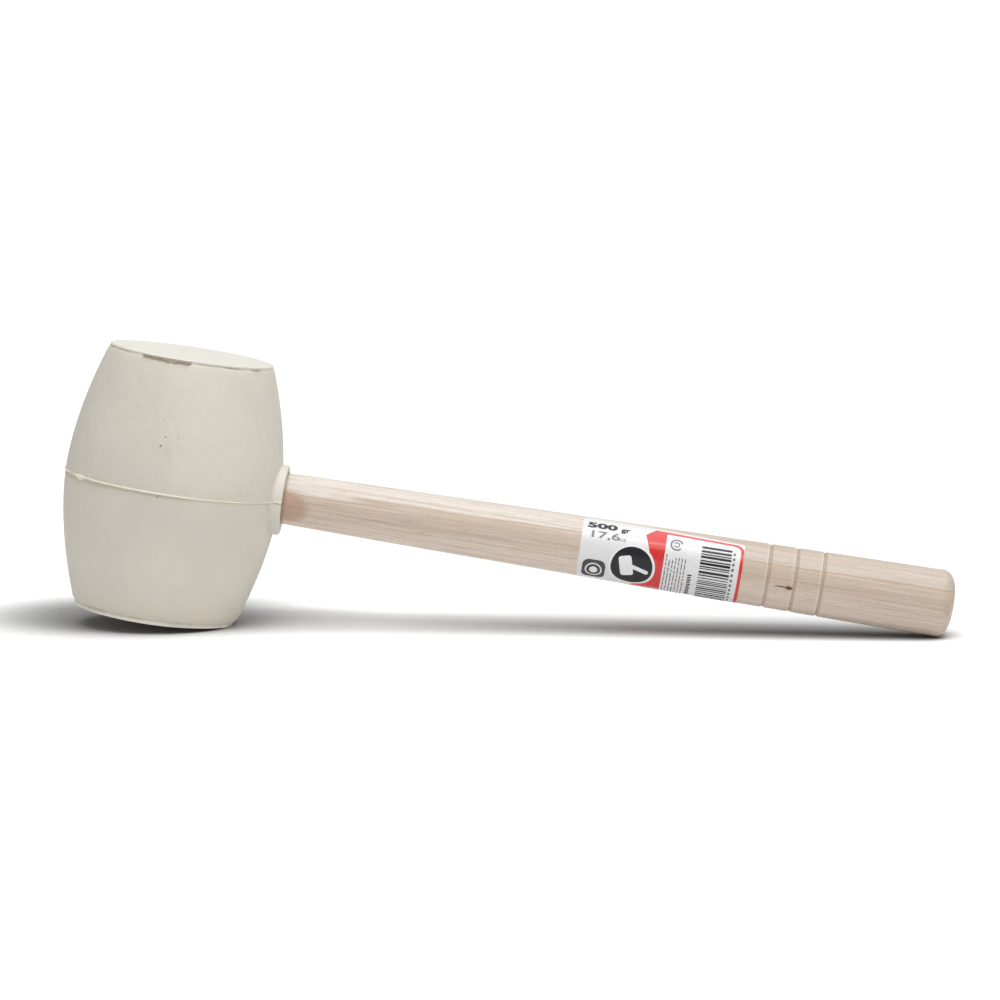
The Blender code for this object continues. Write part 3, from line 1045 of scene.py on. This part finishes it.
# What the camera sees of the floor is near white, with a painted soft shadow in its colour
# where the tool hides the side that the shade falls from.  In a colour mix, inputs 6 and 7 are the
# colours.
near_tool = floor_nodes.nodes.new("ShaderNodeAmbientOcclusion")
near_tool.samples = 12
near_tool.inputs["Distance"].default_value = 58 * MM
towards_light = floor_nodes.nodes.new("ShaderNodeCombineXYZ")
for name, value in zip("XYZ", Vector((0.46, -0.56, 0.69)).normalized()):
    towards_light.inputs[name].default_value = value
floor_nodes.links.new(towards_light.outputs["Vector"], near_tool.inputs["Normal"])
soft_shade = floor_nodes.nodes.new("ShaderNodeMapRange")
soft_shade.inputs["From Min"].default_value = 0.67
soft_shade.inputs["From Max"].default_value = 0.93
soft_shade.inputs["To Min"].default_value = 0.32
soft_shade.inputs["To Max"].default_value = 0.92
floor_nodes.links.new(near_tool.outputs["AO"], soft_shade.inputs["Value"])
floor_nodes.links.new(soft_shade.outputs["Result"], floor_tone.inputs[7])
floor_nodes.links.new(floor_seen.outputs["Is Camera Ray"], floor_tone.inputs[0])
floor_nodes.links.new(floor_tone.outputs[2], floor_shader.inputs["Base Color"])
floor.data.materials.append(floor_finish)


def place_light(name, lamp, place, target):
    item = bpy.data.objects.new(name, lamp)
    bpy.context.scene.collection.objects.link(item)
    item.location = place
    item.rotation_euler = (Vector(target) - Vector(place)).to_track_quat("-Z", "Y").to_euler()


ceiling = bpy.data.lights.new("ceiling_softbox", "SUN")
ceiling.angle = math.radians(80)
ceiling.energy = 3.0
place_light("ceiling_softbox", ceiling, (0.20, -0.18, 1.0), (0, 0, 0))

strip = bpy.data.lights.new("front_strip", "AREA")
strip.shape = "RECTANGLE"
strip.size = 1.1
strip.size_y = 0.13
strip.energy = 1.9
place_light("front_strip", strip, (0.02, -0.56, 1.02), (0.055, 0, 0.04))

world = bpy.data.worlds.new("studio")
bpy.context.scene.world = world
world.use_nodes = True
sky = world.node_tree
backdrop = sky.nodes["Background"]
backdrop.inputs["Color"].default_value = (1, 1, 1, 1)
seen = sky.nodes.new("ShaderNodeLightPath")
strength = sky.nodes.new("ShaderNodeMapRange")
strength.inputs["To Min"].default_value = 0.32
strength.inputs["To Max"].default_value = 1.05
sky.links.new(seen.outputs["Is Camera Ray"], strength.inputs["Value"])
sky.links.new(strength.outputs["Result"], backdrop.inputs["Strength"])

bpy.context.scene.view_settings.view_transform = "Standard"

lens = bpy.data.cameras.new("camera")
lens.lens = 130.9
lens.sensor_width = 36
lens.clip_start = 0.05
lens.clip_end = 60
camera = bpy.data.objects.new("camera", lens)
bpy.context.scene.collection.objects.link(camera)
heading, tilt_down, roll = math.radians(2.04), math.radians(6.30), math.radians(0.71)
camera.matrix_world = (
    Matrix.Translation((0.0435, -1.3148, 0.1926))
    @ Matrix.Rotation(heading, 4, "Z")
    @ Matrix.Rotation(math.radians(90) - tilt_down, 4, "X")
    @ Matrix.Rotation(roll, 4, "Z")
)
bpy.context.scene.camera = camera
